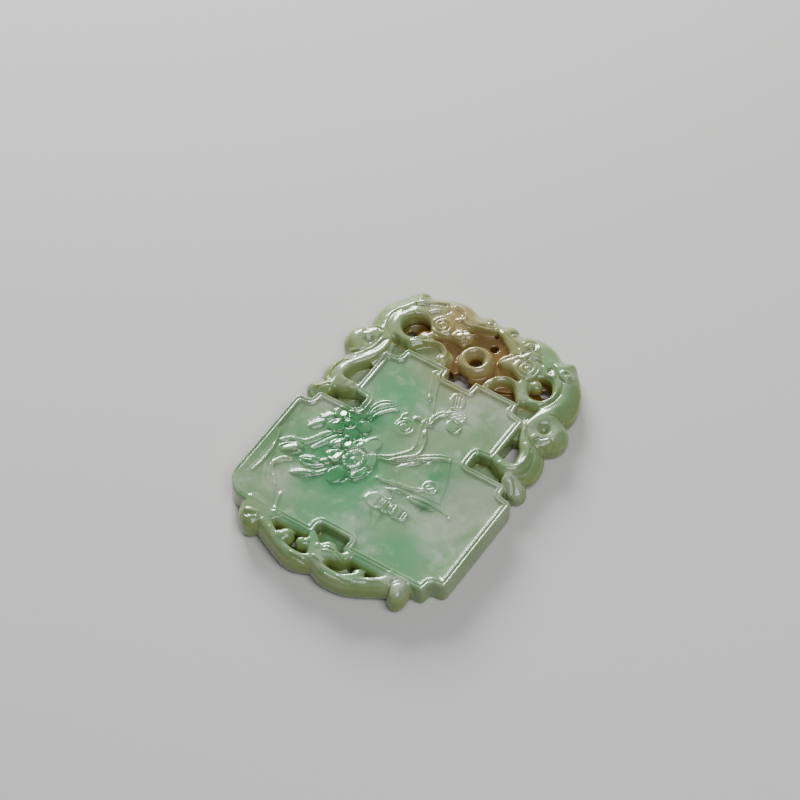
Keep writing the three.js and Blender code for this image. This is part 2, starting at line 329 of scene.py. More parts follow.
openwork = fused(merged(dragon_parts + foot_parts, "openwork"), rounds=3)
openwork = soften(openwork, 0.9, 0.6, OPENWORK_TOP / 2)

# A grid over the plan, on which the plaque's outer edge and its hollows are found.
CELL = 0.25
CELLS = (200, 280)
CORNER = np.array((25, 12))  # from the grid's corner to the panel's foot and centre line


def tree_of(places):
    tree = KDTree(len(places))
    for i, place in enumerate(places):
        tree.insert(place, i)
    tree.balance()
    return tree


def cells_of(co):
    """The cells that lie under the points, as columns and rows."""
    return tuple(((co[:, :2] + CORNER) / CELL).astype(int).T)


def neighbours(grid):
    return [np.roll(grid, step, axis) for axis in (0, 1) for step in (1, -1)]


def outer_edge(meshes):
    """A tree of the places just outside the plaque all round, leaving out its pierced holes."""
    solid = np.zeros(CELLS, bool)
    for mesh in meshes:
        solid[cells_of(coordinates(mesh))] = True
    outside = np.zeros_like(solid)
    outside[0, :] = True
    while True:
        grown = np.logical_or.reduce([outside, *neighbours(outside)]) & ~solid
        if (grown == outside).all():
            break
        outside = grown
    edge = outside & np.logical_or.reduce(neighbours(solid))
    places = np.column_stack(((np.argwhere(edge) + 0.5) * CELL - CORNER, np.zeros(edge.sum())))
    stepped = tree_of(places)
    # each place moves to the middle of its neighbours, which takes the steps out of the edge
    return tree_of([np.mean([near[0] for near in stepped.find_range(place, 0.9)], axis=0)
                    for place in places])


# The openwork falls away to a thin edge all round, from a crest some 3 mm inside. The hips
# fall in a rounder curve, and the fin at the left nape is cut lower.
THIN_EDGE = 0.8
HEAD_FALL = (2.9, 1.6)  # how far in the crest stands, and how far the edge drops
FOOT_FALL = (1.6, 0.8)
edge_tree = outer_edge([panel, openwork])
co = coordinates(openwork)
for i, (x, y, z) in enumerate(co):
    off = edge_tree.find((x, y, 0))[2]
    reach, drop = HEAD_FALL if y > 20 else FOOT_FALL
    if off < reach and z > THIN_EDGE:
        round_hip = min(max(min(y - 33.8, 41.8 - y) / 0.8, 0.0), 1.0)
        fall = drop * (1 - off / reach) ** (1.05 + 0.75 * round_hip)
        low_fin = 0.7 * (hypot(x + 15.7, y - 52.4) < 1.7)
        share = (fall + low_fin) / (OPENWORK_TOP - THIN_EDGE)
        co[i, 2] = THIN_EDGE + (z - THIN_EDGE) * (1 - share)
put_coordinates(openwork, co)

# ----------------------------------------
# The ring the plaque hangs by, turned with a hollow drill, and the thin sunk
# floor behind it that was never pierced through.
# ----------------------------------------
RING = (-0.1, 44.2)
RING_PROFILE = [(0.95, 0.5), (1.3, 0.15), (2.5, 0.1), (3.0, 0.6), (3.25, 2.0), (3.1, 3.1), (2.75, 3.8),
                (2.3, 4.15), (1.9, 4.1), (1.5, 3.7), (1.15, 3.1), (0.95, 2.4)]


def suspension_ring():
    bm = bmesh.new()
    profile = [bm.verts.new((r, 0, z)) for r, z in RING_PROFILE]
    edges = [bm.edges.new((a, b)) for a, b in zip(profile, profile[1:] + profile[:1])]
    bmesh.ops.spin(bm, geom=profile + edges, axis=(0, 0, 1), cent=(0, 0, 0), angle=2 * pi,
                   steps=48, use_merge=True)
    bmesh.ops.remove_doubles(bm, verts=bm.verts, dist=1e-4)
    bmesh.ops.recalc_face_normals(bm, faces=bm.faces)
    bmesh.ops.translate(bm, vec=(*RING, 0), verts=bm.verts)
    return finish_mesh(bm, "ring")


def cut_by(mesh, tool):
    """The mesh with the tool's solid taken away."""
    t = bpy.data.objects.new("tool", tool)
    bpy.context.collection.objects.link(t)
    made = with_modifiers(mesh, ("BOOLEAN", {"operation": "DIFFERENCE", "object": t,
                                             "solver": "EXACT", "use_self": True}))
    bpy.data.objects.remove(t)
    bpy.data.meshes.remove(tool)
    return made


def drill(x, y, radius):
    """A bar long enough to go right through the stone."""
    return round_bar(x, y, radius, -1.0, 6.0, 24)


def ball(x, y, z, radius, flat=1.0):
    bm = bmesh.new()
    bmesh.ops.create_uvsphere(bm, u_segments=24, v_segments=16, radius=radius)
    bmesh.ops.scale(bm, vec=(1, 1, flat), verts=bm.verts)
    bmesh.ops.translate(bm, vec=(x, y, z), verts=bm.verts)
    return finish_mesh(bm, "ball")


def floor_under(x, y, rx, ry, top):
    around = np.linspace(0, 2 * pi, 60, endpoint=False)
    return slab(np.column_stack((x + rx * np.cos(around), y + ry * np.sin(around))), 0.3, top, "floor")


# behind the ring and the dragons' mouths, and drilled for the cord
web = floor_under(0, 45.6, 10.2, 5.2, 2.5)
for hole in ((RING[0], RING[1], 1.1), (-0.6, 40.3, 1.3), (0.8, 48.6, 0.7)):
    web = cut_by(web, drill(*hole))
sunk = [
    web,
    floor_under(6.6, 42.0, 3.6, 2.2, 1.9), floor_under(-6.8, 41.9, 3.6, 2.0, 3.3),
    cut_by(floor_under(12.0, 44.6, 2.6, 2.4, 1.5), drill(12.3, 45.7, 0.8)),
    cut_by(floor_under(-12.2, 44.6, 2.6, 2.4, 1.5), drill(-12.9, 44.6, 0.6)),
    ball(-10.2, 44.7, 1.5, 1.8, 0.8),
    floor_under(12.4, 39.3, 1.9, 1.8, 2.5), floor_under(-12.4, 39.3, 1.9, 1.8, 2.5),
    floor_under(13.7, 37.0, 1.0, 2.8, 2.7), floor_under(-13.7, 37.2, 1.2, 3.0, 3.2),
    cut_by(floor_under(-15.2, 32.4, 1.9, 3.4, 2.2), drill(-13.9, 30.3, 0.55)),
    floor_under(3.6, -2.4, 2.2, 1.2, 1.7), floor_under(-4.0, -3.4, 1.6, 1.2, 1.7),
    limb([(4.6, 0.5, 1.5), (8.5, 0.4, 1.5), (12.2, 0.5, 1.5)], high=3.85),
    limb([(-11.0, 0.5, 1.5), (-8.0, 0.4, 1.4), (-4.4, 0.6, 1.3)], high=3.85),
    floor_under(0.0, 1.4, 3.2, 1.6, 1.6),
    floor_under(12.6, 27.2, 3.4, 1.7, 1.5), floor_under(-12.6, 27.2, 3.4, 1.7, 1.5),
    ball(11.0, 45.0, 2.9, 1.2), ball(9.9, 44.9, 2.4, 1.3),
    ball(-4.6, 41.6, 2.5, 1.5), ball(-6.3, -2.3, 2.7, 1.5), ball(7.5, -2.3, 2.8, 1.1),
]

FINE = 0.14  # grain of the stone as it is carved
plaque = merged([panel, openwork, suspension_ring(), *sunk], "jade_plaque")
plaque = fused(plaque, FINE, 7)

# ----------------------------------------
# The carving of the face. Lines are ground in with a wheel or left standing, and
# lobes are raised over them. Everything is cut from above, into what faces up.
# ----------------------------------------
at = coordinates(plaque)
normals = np.empty(len(at) * 3)
plaque.vertices.foreach_get("normal", normals)
DEEPEST_CUT = 2.6
up = np.clip((normals.reshape(-1, 3)[:, 2] - 0.1) / 0.4, 0, 1) * (at[:, 2] > DEEPEST_CUT)
X, Y = at[:, 0], at[:, 1]
change = np.zeros(len(at))


def reach_of(line, width):
    """For the points within width of the line: which they are, how far off, and where along."""
    low, high = line[:, :2].min(0) - width, line[:, :2].max(0) + width
    near = np.flatnonzero((X > low[0]) & (X < high[0]) & (Y > low[1]) & (Y < high[1]))
    p = at[near, :2]
    best = np.full(len(near), 1e9)
    share = np.zeros(len(near))
    for i in range(len(line) - 1):
        a, b = line[i, :2], line[i + 1, :2]
        d = b - a
        t = np.clip(((p - a) @ d) / max(d @ d, 1e-12), 0, 1)
        off = np.linalg.norm(p - a - t[:, None] * d, axis=1)
        closer = off < best
        best[closer] = off[closer]
        share[closer] = (i + t[closer]) / (len(line) - 1)
    return near, best, share


def stroke(points, width, height, fade=0.15):
    """A rounded line, standing for a positive height and ground in for a negative one."""
    line = smooth_line(points, 6)
    near, off, share = reach_of(line, width)
    ends = np.clip(np.minimum(share, 1 - share) / fade, 0, 1) ** 0.5 if fade else 1.0
    change[near] += height * np.where(off < width, np.cos(off / width * pi / 2) ** 2, 0) * ends


def oval(x, y, rx, ry, turn=0.0):
    """How far out each point lies in an oval: 0 at its middle, 1 on its edge."""
    c, s = cos(radians(turn)), sin(radians(turn))
    return np.hypot(((X - x) * c + (Y - y) * s) / rx, (-(X - x) * s + (Y - y) * c) / ry)


def pit(x, y, radius, depth):
    change[:] -= depth * np.clip(1 - oval(x, y, radius, radius) ** 2, 0, 1) ** 1.5


def spiral(x, y, radius, coils, start, hand=1, inner=0.25):
    """Points of a spiral from the outside in."""
    shares = [k / int(14 * coils) for k in range(int(14 * coils) + 1)]
    return [(x + (radius + (inner - radius) * share) * cos(start + hand * 2 * pi * coils * share),
             y + (radius + (inner - radius) * share) * sin(start + hand * 2 * pi * coils * share))
            for share in shares]


def arc(x, y, rx, ry, angles, turn=0.0):
    """Points of an oval at those angles, in radians; turn is in degrees."""
    c, s = cos(radians(turn)), sin(radians(turn))
    return [(x + rx * cos(t) * c - ry * sin(t) * s, y + rx * cos(t) * s + ry * sin(t) * c) for t in angles]


def full_turn(count, closed=True):
    return np.linspace(0, 2 * pi, count, endpoint=closed)


def depth_in(outline, reach):
    """How far each point lies inside the outline, up to reach; 0 outside."""
    closed = np.vstack((outline, outline[:1]))
    low, high = closed.min(0), closed.max(0)
    boxed = np.flatnonzero((X > low[0]) & (X < high[0]) & (Y > low[1]) & (Y < high[1]))
    x, y = X[boxed], Y[boxed]
    held = np.zeros(len(boxed), bool)
    for (x0, y0), (x1, y1) in zip(closed, closed[1:]):
        held ^= ((y0 > y) != (y1 > y)) & (x < (x1 - x0) * (y - y0) / (y1 - y0 + 1e-12) + x0)
    depth = np.zeros(len(at))
    depth[boxed[held]] = reach
    near, off, _ = reach_of(closed, reach)
    depth[near] = np.minimum(depth[near], off)
    return depth


def eased(t):
    t = np.clip(t, 0, 1)
    return t * t * (3 - 2 * t)


def thread(depth, inset, width, tall):
    """A fine raised line that runs inset from an outline."""
    off = np.abs(depth - inset) / width
    return np.where(off < 1, tall * np.cos(off * pi / 2) ** 2, 0.0)


def dome(x, y, rx, ry, height, turn=0.0):
    """The height of an oval cushion over each point."""
    return height * np.sqrt(np.clip(1 - oval(x, y, rx, ry, turn) ** 2, 0, 1))


def facet(x, y, rx, ry, turn=0.0, slope=0.28):
    """A flat ground by the wheel, tilted to the upper left."""
    inside = eased((1.15 - oval(x, y, rx, ry, turn)) / 0.35)
    change[:] += slope * inside * (0.9 * (X - x) - 0.4 * (Y - y))


def ribbon(points, half, height, lip=0.0, fade=0.25, edge=0.2):
    """A flat strip left standing, thinner towards its ends, with a raised lip on either side."""
    line = smooth_line(points, 6)
    near, off, share = reach_of(line, half + edge)
    w = half * (0.25 + 0.75 * np.clip(np.minimum(share, 1 - share) / fade, 0, 1) ** 0.6) if fade else half
    change[near] += height * eased((w - off) / edge * 0.5 + 0.5)
    if lip:
        off = np.abs(off - w * 0.8) / 0.17
        change[near] += lip * np.where(off < 1, np.cos(off * pi / 2) ** 2, 0)


# The rock fills the lower left corner up to the level of the rim, and hides it there.
ROCK = [(-21.5, 17.4), (-20.0, 17.0), (-18.7, 15.0), (-17.6, 12.4), (-16.2, 10.0), (-14.6, 7.4), (-12.6, 5.0),
        (-11.4, 2.8), (-10.0, 0.9), (-9.2, -1.0), (-21.5, -1.0)]
rock = eased(depth_in(np.array(ROCK), 1.0) / 0.9)
# The rim: two fine threads round the sunk field of the panel.
inset = depth_in(outline, 9.0)
field = -0.22 * eased((inset - 1.05) / 0.3)
rim = thread(inset, 0.34, 0.22, 0.11) + thread(inset, 0.96, 0.2, 0.09) - thread(inset, 0.65, 0.22, 0.07)
low_corner = np.clip((Y - 3.2) / 1.5, 0, 1)
change += field * (1 - rock) + rim * (inset > 0) * np.maximum(1 - rock, low_corner * (X < -19.0))


# The raised line of the left dragon's back, and the round of its loin about the pierced hole.
stroke([(-14.8, 48.7), (-13.5, 49.9), (-12.0, 50.9), (-10.0, 51.9)], 0.7, 0.45, 0.05)
stroke([(-13.7, 49.1), (-12.7, 49.9), (-11.4, 50.7), (-10.0, 51.3)], 0.25, -0.15)
stroke([(-9.4, 42.6), (-10.8, 41.9), (-12.4, 41.6), (-13.9, 42.2), (-14.9, 43.6), (-15.1, 45.2),
        (-14.6, 46.6), (-13.4, 47.6), (-11.8, 48.1)], 1.3, 0.35)
stroke([(-14.2, 40.4), (-15.8, 41.8), (-16.7, 43.4), (-16.8, 45.0), (-16.2, 46.6)], 0.35, -0.2)
# The right dragon's body is one broad round ridge from the nape down to its thigh.
stroke([(11.6, 51.0), (13.6, 49.7), (15.4, 47.9), (16.8, 45.8), (17.3, 43.6), (16.5, 41.5), (15.6, 39.8),
        (15.1, 38.2), (15.1, 36.8)], 1.7, 0.3)
stroke([(14.3, 47.9), (15.0, 46.6), (15.3, 45.0), (15.1, 43.4), (14.4, 41.9), (13.4, 40.8)], 0.32, -0.35)
stroke([(11.4, 47.8), (13.0, 47.4), (14.2, 46.4), (14.7, 44.8), (14.4, 43.2), (13.4, 41.9), (11.8, 41.3)],
       0.55, 0.22)

# The curl of each hip: a soft pit in a round swelling. The right one stands up round its
# pit like a dish, the left one is a full dome.
pit(17.0, 37.9, 1.25, 0.8)
pit(17.0, 37.9, 2.1, 0.2)
stroke(arc(17.0, 37.9, 2.3, 2.3, np.linspace(-2.0, 0.6, 12)), 1.0, 0.26, 0.3)
change += dome(-18.0, 38.3, 3.0, 3.0, 0.3)
pit(-16.8, 37.9, 1.3, 0.6)
stroke([(-15.9, 36.4), (-16.8, 35.6), (-18.0, 35.1), (-19.0, 35.2)], 0.35, 0.15)
for side in (1, -1):
    stroke(turned([(16.2, 40.7), (17.2, 41.2), (18.4, 41.3), (19.6, 41.2)], side), 0.4, -0.4)
    # shank, heel and foot
    stroke(turned([(17.0, 33.2), (18.2, 32.4), (18.7, 31.0), (18.7, 29.6), (18.3, 28.4), (17.5, 27.4)],
                  side), 0.32, -0.3)
    stroke(turned([(17.1, 27.0), (18.2, 26.4), (18.9, 25.4), (19.3, 24.5)], side), 0.3, -0.4)
    stroke(turned([(20.4, 27.9), (19.4, 28.0), (18.4, 27.6)], side), 0.35, -0.35)
stroke([(14.2, 36.8), (15.0, 35.6), (16.1, 34.6), (17.6, 34.0), (19.0, 34.1), (20.0, 34.7)], 0.4, -0.45)
stroke([(15.9, 33.9), (17.1, 32.7), (17.7, 31.2), (17.6, 29.7), (16.9, 28.6), (15.6, 27.9), (14.3, 28.4)],
       0.6, 0.28)
stroke([(-15.7, 40.2), (-15.8, 38.4), (-16.2, 36.7), (-17.2, 35.2), (-18.4, 34.6), (-19.6, 34.8)], 0.4, -0.3)
stroke([(-13.3, 40.4), (-13.4, 38.4), (-13.7, 36.8), (-14.7, 34.9), (-15.8, 33.2), (-16.6, 31.4),
        (-16.3, 29.8), (-15.2, 28.7), (-13.8, 28.8)], 1.6, 0.5, 0.05)
facet(-14.5, 37.8, 2.4, 0.9, 82, 0.2)
facet(-16.2, 33.9, 1.5, 0.6, 62, 0.2)
stroke([(-18.0, 33.2), (-18.9, 31.8), (-18.9, 30.0), (-18.2, 28.6)], 0.4, 0.2)


def upper_head(m):
    """What is cut alike on both large dragons, laid out for the right-hand one."""

    def cut(points, width, height, fade=0.15):
        stroke([(m * x, y) for x, y in points], width, height, fade)

    # eye under its brow; the left dragon's is half shut, with a longer brow
    if m > 0:
        change[:] += 0.2 * np.sqrt(np.clip(1 - oval(6.0, 51.3, 0.75, 0.7) ** 4, 0, 1))
        cut([(4.5, 51.5), (4.9, 52.4), (5.8, 52.8), (6.9, 52.5), (7.7, 51.6)], 0.28, 0.22)
        cut([(5.0, 51.2), (5.3, 51.8), (6.0, 52.1), (6.7, 51.8), (6.9, 51.1), (6.5, 50.5), (5.8, 50.4)],
            0.22, -0.2, 0)
    else:
        cut([(9.2, 51.9), (8.2, 52.1), (7.0, 51.7), (6.2, 50.8), (6.0, 50.0)], 0.32, 0.25)
        cut([(8.6, 51.2), (7.7, 51.3), (6.9, 50.7)], 0.22, -0.2)
        cut([(9.6, 51.3), (9.0, 50.4), (9.4, 49.6)], 0.25, -0.15)
    # nostril curl and the line of the mouth
    cut([(2.9, 52.4), (2.5, 51.8), (1.9, 52.0), (1.9, 52.8), (2.6, 53.2)], 0.22, -0.22)
    cut([(0.9, 51.7), (2.2, 51.1), (3.6, 50.6), (4.8, 49.8)], 0.28, -0.22)
    # mane under the ear
    for k in range(5):
        lock = [(5.6 - 0.35 * k, 48.8 - 0.5 * k), (4.8 - 0.3 * k, 48.4 - 0.55 * k),
                (3.9 - 0.05 * k, 48.3 - 0.6 * k)]
        cut(lock, 0.2, -0.16)


upper_head(1)
upper_head(-1)
# Ears: the right one curls down from the crown, the left one up from the jaw.
change += np.maximum(dome(8.0, 47.0, 2.3, 2.2, 0.35), dome(7.0, 49.3, 1.9, 1.1, 0.45, 35))
stroke(spiral(8.0, 47.0, 1.95, 2.1, radians(110), -1, 0.2), 0.24, -0.28)
stroke([(6.9, 48.4), (7.6, 49.2), (8.8, 49.5), (10.0, 48.9)], 0.28, -0.25)
stroke([(5.7, 47.6), (5.6, 48.8), (6.2, 50.0), (7.4, 50.6), (8.9, 50.6)], 0.25, -0.2)
change += dome(-8.4, 47.1, 2.0, 2.0, 0.35)
stroke(spiral(-8.4, 47.1, 1.75, 2.0, radians(70), 1, 0.2), 0.24, -0.28)
stroke([(-7.2, 49.2), (-6.2, 49.9), (-5.2, 49.5), (-4.0, 49.9), (-2.4, 50.3), (-1.0, 51.0)], 0.5, 0.4)
# Fins at the nape.
stroke([(10.9, 50.4), (12.0, 49.4), (13.1, 48.4), (14.0, 48.0), (15.0, 47.9), (15.8, 48.4)], 0.3, -0.32)
change += dome(14.2, 49.3, 1.3, 1.1, 0.3, 40)
stroke([(-11.7, 48.3), (-11.3, 49.0), (-10.3, 49.6)], 0.45, 0.3)
# The leaf by the ring.
change += dome(-4.3, 47.2, 2.0, 1.1, 0.4, 32)
stroke([(-5.4, 46.3), (-4.3, 46.5), (-3.2, 47.3)], 0.2, -0.2)
stroke([(-3.9, 45.9), (-3.5, 46.8), (-2.8, 47.4)], 0.2, -0.18)
# Tail tips over the panel's head.
for side in (1, -1):
    stroke(turned([(4.5, 41.3), (4.8, 42.5), (5.7, 43.4), (6.9, 43.7), (8.2, 43.3), (9.4, 42.2)], side),
           0.4, 0.28)
stroke([(-11.2, 41.2), (-9.8, 42.3), (-8.0, 43.1)], 0.34, 0.35)
stroke([(-11.2, 42.3), (-10.1, 43.2), (-8.8, 43.8)], 0.3, 0.25)

# Flats on the dragons' hips, ears, fins and claws.
for flat in (
    (-14.7, 46.6, 1.3, 0.8, 50), (-18.0, 39.2, 0.9, 0.7, 0), (-4.3, 47.5, 1.6, 0.5, 30),
    (18.0, 35.6, 1.5, 0.85, 25, 0.58), (11.9, 48.4, 1.2, 0.6, -40, 0.42), (6.4, 49.2, 0.7, 1.1, 0, 0.6),
    (14.4, 49.3, 0.6, 0.7, 0, 0.8), (-6.6, -2.2, 0.8, 0.8, 0), (-12.9, -2.3, 1.1, 0.4, 15),
    (-2.8, -1.6, 0.5, 0.4, 0), (-14.4, 28.2, 1.0, 0.8, 0),
):
    facet(*flat)

# The small dragons' ribs, noses and claws, and the mask between them.
stroke([(9.6, -3.0), (10.8, -2.2), (12.0, -1.7)], 0.45, 0.3)
stroke([(4.9, -4.8), (6.4, -4.7), (7.8, -4.2)], 0.3, 0.22)
stroke([(5.4, -5.1), (6.6, -5.0), (7.6, -4.7)], 0.18, -0.15)
stroke([(3.0, -5.4), (4.6, -5.5), (6.2, -5.2)], 0.35, 0.4)
stroke([(-9.3, -2.4), (-8.7, -3.2), (-7.9, -3.9)], 0.32, 0.25)
stroke([(-1.4, -4.7), (-2.6, -4.9), (-3.8, -4.8)], 0.3, 0.2)
stroke([(-0.4, -5.4), (-1.8, -5.6), (-3.0, -5.6)], 0.35, 0.4)
change += dome(-6.4, -2.3, 1.5, 1.3, 0.3, 40) + dome(-3.4, -1.9, 1.2, 1.2, 0.3)
change += dome(14.7, -2.1, 1.3, 1.5, 0.2)
stroke([(-14.8, -2.0), (-13.6, -1.5), (-12.2, -1.3)], 0.6, 0.25)
stroke([(-11.0, -3.2), (-11.6, -2.4), (-11.4, -1.2)], 0.35, -0.2)
stroke([(13.0, -3.2), (13.0, -1.8), (12.9, -0.8), (13.4, 0.0)], 0.35, -0.35)
change += dome(1.0, -0.8, 1.6, 1.2, 0.25) + dome(2.4, -2.0, 2.2, 1.2, 0.3, -10)
for k, h in ((0.0, 0.25), (0.75, 0.2)):
    stroke([(0.2, -1.4 - k), (1.4, -0.9 - k), (2.8, -0.9 - k), (4.2, -1.6 - k)], 0.28, h)
stroke([(0.2, -1.8), (1.4, -1.3), (2.8, -1.3), (4.1, -2.0)], 0.18, -0.2)
stroke([(-0.4, -3.4), (0.9, -3.6), (2.4, -3.2)], 0.36, 0.3)
stroke([(-0.7, -0.6), (-0.8, -1.8)], 0.4, 0.25)

# ----------------------------------------
# The picture on the panel: an old prunus leaning in from the top, its blossom
# against the left edge, a rock below, and sprays with fan-shaped heads.
# ----------------------------------------


def flower(x, y, rx, ry, height, petals):
    """Petals (x, y, rx, ry, turn) cut out of one low mound, each a little rounded."""
    mound = height * np.clip(1 - ((X - x) / rx) ** 2 - ((Y - y) / ry) ** 2, 0.15, 1) ** 0.7
    union = np.zeros(len(at))
    for px, py, a, b, turn in petals:
        union = np.maximum(union, dome(px, py, a, b, 1.0, turn))
    change[:] += eased(union / 0.45) * mound * 0.75 + 0.2 * height * union


# upper blossom: five round petals about a button
UPPER = (-10.1, 21.7)
flower(*UPPER, 4.3, 4.3, 0.46, [
    (-9.8, 23.9, 1.5, 1.6, 0), (-7.8, 22.2, 1.45, 1.5, 0), (-8.7, 20.2, 1.4, 1.4, 0),
    (-11.6, 20.4, 1.7, 1.3, 35), (-12.2, 22.7, 1.6, 1.25, -35), (*UPPER, 1.4, 1.4, 0)])
change += dome(*UPPER, 0.9, 0.9, 0.2)
stroke(spiral(*UPPER, 0.98, 1.0, 0.0, 1, 0.98), 0.2, -0.18, 0)
stroke(spiral(*UPPER, 0.5, 1.0, 0.0, 1, 0.5), 0.16, -0.1, 0)
for r in (1.35, 1.7):
    stroke(arc(*UPPER, r, r, np.linspace(2.7, 3.9, 6)), 0.16, 0.12)
for px, py in ((-11.1, 23.3), (-8.5, 23.4), (-7.9, 21.1), (-10.1, 19.6), (-12.4, 21.6)):
    stroke([(UPPER[0] * 0.3 + px * 0.7, UPPER[1] * 0.3 + py * 0.7), (px, py),
            (px * 1.6 - UPPER[0] * 0.6, py * 1.6 - UPPER[1] * 0.6)], 0.26, -0.14)
# lower blossom: an open cup of beaded stamens with petals round it
LOWER = (-5.3, 15.9)
flower(*LOWER, 5.2, 6.6, 0.5, [
    (-7.9, 18.0, 1.7, 1.05, -45), (-8.2, 15.0, 1.6, 1.45, 0), (-6.1, 12.1, 2.0, 1.35, 80),
    (-3.5, 14.2, 1.9, 1.2, 65), (-3.1, 17.3, 1.9, 1.1, -70), (-4.5, 20.0, 1.9, 1.35, 95),
    (-6.3, 19.0, 1.3, 0.95, 45), (*LOWER, 1.9, 2.4, 0)])
change -= 0.24 * eased((1 - oval(*LOWER, 1.3, 1.8)) / 0.35)
change += np.maximum(dome(-5.3, 15.9, 0.6, 0.65, 0.32) - 0.08, 0)
for bead in arc(*LOWER, 1.42, 1.9, full_turn(16, False)):
    change += dome(*bead, 0.24, 0.24, 0.18)
stroke(arc(*LOWER, 2.0, 2.5, full_turn(25)), 0.24, -0.22, 0)
for (x0, y0), (x1, y1) in (
    ((-6.9, 17.2), (-9.2, 16.6)), ((-7.2, 14.0), (-8.2, 13.2)), ((-4.5, 13.4), (-4.1, 12.4)),
    ((-3.4, 15.8), (-1.8, 15.7)), ((-4.0, 18.2), (-3.2, 19.0)), ((-6.2, 18.2), (-7.0, 19.4)),
):
    stroke([(x0, y0), ((x0 + x1) / 2, (y0 + y1) / 2), (x1, y1)], 0.26, -0.22)
# lips of the petals at the right and below
for line, width in (
    ([(-2.9, 18.6), (-2.3, 17.6), (-1.8, 16.2), (-1.9, 15.0), (-2.7, 14.0)], 0.26),
    ([(-3.5, 13.8), (-3.9, 12.8), (-4.3, 11.6), (-5.0, 10.7)], 0.26),
    ([(-7.2, 12.8), (-7.5, 11.6), (-7.0, 10.4), (-5.9, 10.1), (-4.9, 10.7)], 0.22),
    ([(-5.6, 20.0), (-5.1, 21.2), (-4.2, 21.7), (-3.4, 21.1), (-3.1, 19.8), (-3.0, 18.9)], 0.24),
):
    stroke(line, width, 0.14)
for petal in (
    (-11.9, 22.9, 0.95, 0.6, -40), (-12.0, 20.7, 0.6, 0.4, 35), (-7.9, 18.1, 1.0, 0.6, -50),
    (-8.0, 15.1, 0.8, 1.1, -10), (-9.5, 17.6, 0.9, 0.4, 55), (-15.4, 12.4, 1.5, 0.8, 32),
    (-6.3, 19.0, 0.7, 0.5, 45),
):
    facet(*petal)
# twigs and leaves at the left
change += np.maximum.reduce([dome(*leaf) for leaf in (
    (-15.2, 12.7, 2.1, 1.15, 0.5, 32), (-11.3, 12.3, 1.9, 0.7, 0.32, 22), (-10.9, 9.4, 2.2, 0.65, 0.36, 30),
    (-14.4, 19.0, 1.7, 0.7, 0.34, 58), (-10.7, 26.2, 2.1, 0.5, 0.3, 85), (-13.6, 21.2, 1.2, 0.6, 0.3, 50),
    (-9.6, 17.4, 1.6, 0.8, 0.35, 55), (-9.0, 13.4, 1.4, 0.6, 0.3, 40),
)])
stroke([(-12.8, 11.7), (-11.3, 12.3), (-9.9, 12.9)], 0.16, -0.14)
for line, half in (
    ([(-17.6, 13.0), (-16.4, 14.1), (-15.0, 14.5), (-13.9, 15.0), (-13.0, 16.3), (-12.2, 17.9),
      (-11.4, 19.0)], 0.42),
    ([(-12.4, 14.4), (-11.5, 16.2), (-10.7, 17.8), (-9.9, 19.2)], 0.34),
    ([(-12.6, 11.2), (-11.2, 11.0), (-9.9, 11.6), (-8.8, 12.6)], 0.26),
    ([(-9.8, 10.0), (-8.8, 10.6), (-7.9, 12.0)], 0.26),
    ([(-15.9, 7.8), (-15.6, 9.2), (-14.9, 10.2), (-13.8, 10.7)], 0.4),
):
    ribbon(line, half, 0.17, 0.06)
# two arching leaves above the blossom
for line in ([(-8.4, 25.0), (-8.6, 26.5), (-8.0, 28.0), (-7.0, 28.8), (-5.9, 29.1)],
             [(-7.8, 24.2), (-7.7, 25.8), (-6.9, 27.2), (-5.9, 28.2), (-5.1, 28.5)]):
    ribbon(line, 0.42, 0.16, 0.16)
# rosebud and its sepals
change += dome(-2.2, 26.1, 1.9, 1.9, 0.2)
stroke(spiral(-2.2, 26.1, 1.5, 2.2, radians(200), -1, 0.25), 0.2, -0.18)
stroke([(-3.6, 26.9), (-3.8, 28.0), (-3.3, 28.8)], 0.24, 0.16)
ribbon([(-1.8, 28.4), (-1.0, 28.8), (-0.2, 28.3)], 0.3, 0.12, 0.14)
# the trunk, from the head of the panel down to the lower blossom
ribbon([(-3.8, 38.3), (-3.0, 36.4), (-2.2, 34.4), (-1.2, 32.4), (-0.3, 30.6), (0.6, 29.0)], 0.7, 0.12,
       0.08, 0)
ribbon([(0.1, 29.2), (0.4, 27.6), (1.2, 26.0), (1.9, 24.2), (2.0, 22.8), (1.4, 21.5), (0.3, 20.2),
        (-1.0, 19.2), (-2.6, 18.6)],
       0.85, 0.16, 0.16, 0.3)
change += dome(-2.0, 33.3, 0.45, 0.7, 0.25, 25) + dome(1.3, 26.6, 0.4, 0.8, 0.2, 15)
# branch to the upper spray
ribbon([(1.0, 28.6), (0.9, 30.0), (1.2, 31.2), (2.2, 32.2)], 0.42, 0.14, 0.16)


def fan(x, y, rx, ry, turn, needles):
    """A flat fan of needles: a low oval with a lip, cut by lines across its length."""
    change[:] += dome(x, y, rx * 1.1, ry * 1.1, 0.3, turn)
    c, s = cos(radians(turn)), sin(radians(turn))
    for u in needles:
        w = ry * (1 - (u / rx) ** 2) ** 0.5 * 0.85
        stroke([(x + u * c - w * s * f, y + u * s + w * c * f) for f in (-1, 0, 1)], 0.2, -0.28, 0.1)
    stroke(arc(x, y, rx, ry, full_turn(17), turn), 0.2, 0.11, 0)


fan(2.2, 35.0, 1.2, 1.75, 22, (-0.5, 0.0, 0.5))
fan(3.7, 32.7, 1.65, 1.35, -42, (-1.1, -0.55, 0.0, 0.55, 1.1))
fan(4.4, 30.4, 1.3, 1.1, -20, (0.85,))
fan(2.2, 11.1, 1.75, 1.4, 0, (0.35, 0.8))
fan(6.3, 10.9, 1.65, 1.25, 0, (0.75, 1.2))
fan(4.3, 11.1, 1.45, 1.45, 0, (-0.95, -0.48, 0.0, 0.48, 0.95))
